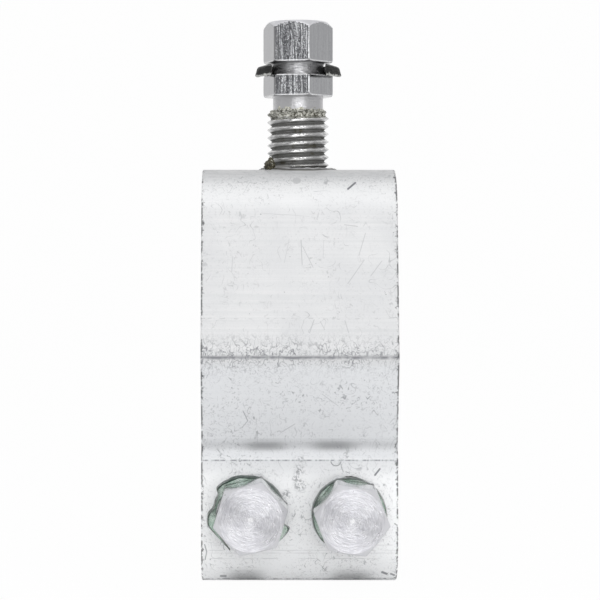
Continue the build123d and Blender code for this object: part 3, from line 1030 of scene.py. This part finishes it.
def make_swarf(material):
    """The jagged lump of swarf and compound at the left of the main thread, on the arm.

    It lies just outside the circle that the hexagon comes down into.
    """
    bm = bmesh.new()
    bmesh.ops.create_icosphere(bm, subdivisions=5, radius=1.0)
    local = []
    for vert in bm.verts:
        x, y, z = vert.co
        height = (z + 1) / 2
        reach = (1 - height) ** 0.9
        point = Vector((-7.3 + x * (0.1 + 2.0 * reach), -7.0 + y * (0.3 + 1.5 * reach), -0.25 + 4.1 * height))
        point += vert.normal * (0.4 * rough(point, 0.9, 2.0) + 0.35 * rough(point, 2.3, 7.0))
        clear = max(1.0, SWARF_CLEARANCE / math.hypot(point.x, point.y))
        local.append((point.x * clear, point.y * clear, max(point.z, -0.2) + BODY_TOP))
        vert.co = Vector(local[-1]) * MM
    piece = add_bmesh("thread_swarf", bm)
    dress(piece, "clamp", "extruded_aluminium", material)
    store_vectors(piece, "turned", local)
    shade(piece, 40)


# Stop clips, on their bolt's own axis and open towards -Y

CLIP_STEPS = 160
CLIP_HEIGHT = 2.6
CURVE_STEPS = 24
# A clip's rounded section as (share of the way out, share of its height)
CLIP_SECTION = (
    (0.0, 0.1), (0.0, 0.5), (0.0, 0.9), (0.06, 0.985), (0.18, 1.0), (0.5, 1.0), (0.82, 1.0), (0.94, 0.97),
    (1.0, 0.86), (1.0, 0.62), (1.0, 0.38), (1.0, 0.14), (0.94, 0.03), (0.82, 0.0), (0.5, 0.0), (0.15, 0.0),
)


def along_curve(points, count):
    """Evenly spaced points on a smooth curve through the given ones."""
    dense = []
    for i in range(len(points) - 1):
        a, b, c, d = (Vector(points[min(max(k, 0), len(points) - 1)]) for k in (i - 1, i, i + 1, i + 2))
        for s in range(CURVE_STEPS):
            t = s / CURVE_STEPS
            dense.append(0.5 * (2 * b + (c - a) * t + (2 * a - 5 * b + 4 * c - d) * t * t
                                + (3 * b - a - 3 * c + d) * t ** 3))
    dense.append(Vector(points[-1]))
    reach = [0.0]
    for p, q in zip(dense, dense[1:]):
        reach.append(reach[-1] + (q - p).length)
    picked, k = [], 0
    for s in range(count):
        target = reach[-1] * s / (count - 1)
        while k < len(dense) - 2 and reach[k + 1] < target:
            k += 1
        share = (target - reach[k]) / max(reach[k + 1] - reach[k], 1e-9)
        picked.append(dense[k].lerp(dense[k + 1], min(share, 1.0)))
    return picked


def arc_points(radius, start, end, count):
    """Points on an arc, its angles in degrees."""
    return [polar(radius, math.radians(start + (end - start) * s / (count - 1)), 0)[:2] for s in range(count)]


def mirrored(left, over):
    """An edge made of its left part, the arc over the back, and the left part again on the right."""
    return left + over + [(-x, y) for x, y in reversed(left)]


# Outer and inner edge of each clip from its left end, over the back, to its right end
DARK_CLIP = (
    mirrored([(-7.1, -9.2), (-9.2, -6.6), (-11.1, -3.9), (-11.0, -3.0), (-9.9, -0.6)],
             arc_points(9.2, 168, 12, 13)),
    mirrored([(-6.75, -9.0), (-6.85, -6.5), (-6.95, -4.4), (-7.1, -3.2), (-7.35, -1.2)],
             arc_points(7.5, 170, 10, 13)),
)
TORN_CLIP = (
    [(-5.3, -9.3), (-7.8, -6.5), (-10.3, -3.7), (-10.95, -2.4), (-10.6, 0.0), (-9.5, 1.2), (-8.8, 3.2),
     (-8.2, 4.8), (-8.45, 6.3), (-6.9, 7.65), (-4.64, 8.75), (-2.4, 9.22), (-0.2, 9.12), (2.1, 8.75),
     (4.45, 7.55), (6.65, 5.6), (7.95, 3.4), (8.6, 1.0), (8.6, -1.2), (8.3, -2.7), (9.6, -3.6),
     (9.35, -4.6), (8.2, -6.1), (6.3, -7.9)],
    [(-5.0, -8.9), (-7.0, -6.3), (-8.6, -3.9), (-8.7, -2.4), (-8.55, -0.3), (-8.3, 1.2), (-7.6, 3.0),
     (-6.9, 4.1), (-6.1, 5.0), (-5.3, 5.9), (-3.9, 6.85), (-2.2, 7.4), (-0.4, 7.45), (1.4, 7.15),
     (3.2, 6.3), (4.9, 4.9), (6.3, 2.6), (7.0, 0.7), (7.1, -1.2), (7.1, -2.6), (7.3, -3.4),
     (7.3, -4.3), (7.0, -5.9), (6.0, -7.4)],
)
WHOLE_CLIP = (
    [(-8.3, -5.6)] + arc_points(9.25, 205, -20, 19) + [(8.0, -5.0)],
    [(-7.5, -5.3)] + arc_points(7.6, 205, -20, 19) + [(7.2, -4.6)],
)


def clip_mesh(outside, inside, flare, shape):
    """A bar of rounded section along the clip; shape moves a point by its place in the section."""
    vertices, rims, faces = [], [], []
    for out_point, in_point in zip(outside, inside):
        width = max((out_point - in_point).length, 0.01)
        for across, up in CLIP_SECTION:
            share = across * max(0.2, 1 - flare * up * CLIP_HEIGHT * across / width)
            flat = in_point.lerp(out_point, share)
            vertices.append(shape(across, up, Vector((flat.x, flat.y, up * CLIP_HEIGHT))))
            rims.append((across, 1 - up if across > 0.8 else 0.0, 0.0))
    ring = len(CLIP_SECTION)
    last = (len(outside) - 1) * ring
    for k in range(0, last, ring):
        for i in range(ring):
            j = (i + 1) % ring
            faces.append((k + i, k + j, k + ring + j, k + ring + i))
    faces.append(tuple(range(ring - 1, -1, -1)))
    faces.append(tuple(range(last, last + ring)))
    return vertices, rims, faces


def make_clip(name, node, body, slot, place, turn, shift, material, outline, flare, shape):
    """A clip in place of its CAD node, turned and shifted on its bolt; its section leans by the flare."""
    outside, inside = (along_curve(edge, CLIP_STEPS) for edge in outline)
    vertices, rims, faces = clip_mesh(outside, inside, math.tan(math.radians(flare)), shape)
    local = []
    for v in vertices:
        x, y = rotated(v[0], v[1], math.radians(turn))
        local.append((x + shift, y + shift, v[2] + RELEASE_HEX + 0.2))
    piece = add_mesh(name, [place(p) for p in local], faces)
    dress(piece, body, slot, material)
    store_vectors(piece, "turned", local)
    store_vectors(piece, "edge", rims)
    bm = bmesh.new()
    bm.from_mesh(piece.data)
    bmesh.ops.recalc_face_normals(bm, faces=bm.faces)
    bm.to_mesh(piece.data)
    bm.free()
    shade(piece, 40)
    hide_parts(node)


def drooping_ears(across, up, point):
    """The dark clip's ends sag outside the hexagon, and their lower rim is chipped."""
    outside = max(0.0, math.hypot(point.x, point.y) - 8.6)
    sag = min(1.0, outside / 2.2) * (0.75 + 0.12 * rough(point, 0.8))
    chip = max(0.0, rough(point, 1.6, 3.0) - 0.1) * 0.6 if up < 0.2 and across > 0.5 else 0.0
    return Vector((point.x, point.y, point.z - sag + chip))


def waved(point, scale, seeds, amount):
    wave = Vector((rough(point, scale, seeds[0]), rough(point, scale, seeds[1]), 0))
    return point + wave * amount


def torn_side(across, up, point):
    """The left branch clip is crinkled where a socket has bitten into its rim."""
    bite = 0.16 if point.x < -4 else 0.06
    return waved(point, 0.6, (1.0, 5.0), bite if across > 0.5 else 0.05)


def whole_side(across, up, point):
    return waved(point, 0.4, (2.0, 7.0), 0.08 if across > 0.5 else 0.03)


STEELS = (hexagon_material(), turned_material(), thread_material())
dark_plastic = dark_clip_material()
green_plastic = green_clip_material()
tinned = plain_metal("tinned_contact", linear(205, 202, 192), 0.34)
cast = plain_metal("cast_pad", linear(190, 191, 194), 0.45)

NODE_MATERIALS = {
    "main_contact_bar_front": tinned,
    "main_contact_bar_rear": tinned,
    "branch_contact_bar": tinned,
    "main_pressure_pad": cast,
    "branch_pressure_pad_left": cast,
    "branch_pressure_pad_right": cast,
}
for node, material in NODE_MATERIALS.items():
    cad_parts[node].data.materials.clear()
    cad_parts[node].data.materials.append(material)

left_place = place_branch(-BRANCH_X, LEFT_STANDOFF)
right_place = place_branch(BRANCH_X, RIGHT_STANDOFF)
make_body(aluminium_material())
# Each bolt with its angle, its thread's length, and its spigot's radius and length
make_bolt("main_bolt_turned", "main_shear_bolt", "main_bolt", place_main, 47.3, MAIN_THREAD, 5.0, 5.0)
make_bolt("left_bolt_turned", "branch_shear_bolt_left", "left_bolt", left_place, 13.0,
          BRANCH_THREAD, 4.0, 2.0)
make_bolt("right_bolt_turned", "branch_shear_bolt_right", "right_bolt", right_place, 51.0,
          BRANCH_THREAD, 4.0, 2.0)
make_shank_grime(grime_material("thread_compound", linear(100, 97, 80), linear(206, 204, 188), 0.53))
make_swarf(grime_material("swarf_compound", linear(18, 16, 11), linear(84, 79, 57), 0.62))
# Each clip with its angle and shift on the bolt, its outline, its flare in degrees and its shape
make_clip("dark_clip", "main_stop_clip", "main_bolt", "dark_clip_plastic", place_main, 0.0, 0, dark_plastic,
          DARK_CLIP, 16, drooping_ears)
make_clip("torn_green_clip", "branch_stop_clip_left", "left_bolt", "green_clip_plastic", left_place, 0.0, 0,
          green_plastic, TORN_CLIP, 12, torn_side)
make_clip("green_clip", "branch_stop_clip_right", "right_bolt", "green_clip_plastic", right_place, 30.0, -0.25,
          green_plastic, WHOLE_CLIP, 7, whole_side)


# Floor, backdrop, lights and camera

def stage_material():
    """White paper that glows evenly for the camera and for mirrors, and lights the part as cloth would."""
    nodes = Nodes("studio_white")
    rays = nodes.add("LightPath").outputs
    seen = nodes.most(*(Field(nodes, rays[kind]) for kind in
                        ("Is Camera Ray", "Is Glossy Ray", "Is Transmission Ray")))
    diffuse = nodes.add("BsdfDiffuse")
    diffuse.inputs["Color"].default_value = (0.96, 0.96, 0.96, 1)
    glow = nodes.add("Emission")
    glow.inputs["Color"].default_value = (1, 1, 1, 1)
    glow.inputs["Strength"].default_value = 1.0
    mix = nodes.add("MixShader")
    nodes.put(mix.inputs[0], seen * 0.97)
    nodes.tree.links.new(diffuse.outputs[0], mix.inputs[1])
    nodes.tree.links.new(glow.outputs[0], mix.inputs[2])
    nodes.tree.links.new(mix.outputs[0], nodes.out.inputs["Surface"])
    return nodes.material


def make_stage():
    """A floor that sweeps up into a backdrop far behind, in metres."""
    half, depth, height, bend = 2.0, 1.6, 2.4, 0.5
    section = [(-depth, 0.0), (depth - bend, 0.0)]
    section += [(depth - bend + bend * math.sin(a), bend - bend * math.cos(a))
                for a in [math.radians(10 * i) for i in range(1, 10)]]
    section.append((depth, height))
    vertices = [(side * half, y, z) for y, z in section for side in (-1, 1)]
    faces = [(2 * i, 2 * i + 1, 2 * i + 3, 2 * i + 2) for i in range(len(section) - 1)]
    floor = add_mesh("studio_sweep", vertices, faces)
    floor.data.materials.append(stage_material())
    floor.data.shade_smooth()


def soft_light(name, place, aim, size, power):
    light = bpy.data.lights.new(name, "AREA")
    light.shape = "RECTANGLE"
    light.size, light.size_y = size
    light.energy = power
    lamp = add_object(name, light)
    lamp.location = place
    lamp.rotation_euler = (Vector(aim) - Vector(place)).to_track_quat("-Z", "Y").to_euler()


def make_flag():
    """A dark board behind the camera, as the studio's dim side, for the steel to mirror."""
    left, right, low, high, y = -1.15, -0.2, 0.0, 0.5, -1.2
    board = add_mesh("dark_board", [(left, y, low), (right, y, low), (right, y, high), (left, y, high)],
                     [(0, 1, 2, 3)])
    board.data.materials.append(Nodes("dark_board").surface(Base_Color=(0.04, 0.04, 0.04), Roughness=1.0))
    board.visible_camera = False


def make_world(strength):
    world = bpy.data.worlds.new("studio_air")
    world.use_nodes = True
    back = world.node_tree.nodes["Background"]
    back.inputs["Color"].default_value = (1, 1, 1, 1)
    back.inputs["Strength"].default_value = strength
    bpy.context.scene.world = world


def make_camera():
    data = bpy.data.cameras.new("photo_camera")
    data.sensor_fit = "HORIZONTAL"
    data.sensor_width = 36.0
    data.lens = data.sensor_width * FOCAL_PX / PHOTO_PX
    data.shift_x = (PHOTO_PX / 2 - PRINCIPAL_PX[0]) / PHOTO_PX
    data.shift_y = -(PHOTO_PX / 2 - PRINCIPAL_PX[1]) / PHOTO_PX
    data.clip_start = 0.01
    camera = add_object("photo_camera", data)
    camera.location = (CAMERA_X, -CAMERA_DISTANCE, CAMERA_Z)
    camera.rotation_euler = (math.radians(90), 0, 0)
    bpy.context.scene.camera = camera


make_stage()
make_world(0.61)
# Each light's place, aim and size in metres, and its power in watts
soft_light("front_box", (-0.03, -0.78, 0.6), (0, 0, 0.06), (0.8, 0.35), 3.25)
soft_light("low_box", (0.15, -1.1, 0.1), (0, 0, 0.02), (0.8, 0.3), 2.6)
make_flag()
make_camera()
bpy.context.scene.view_settings.view_transform = "Standard"
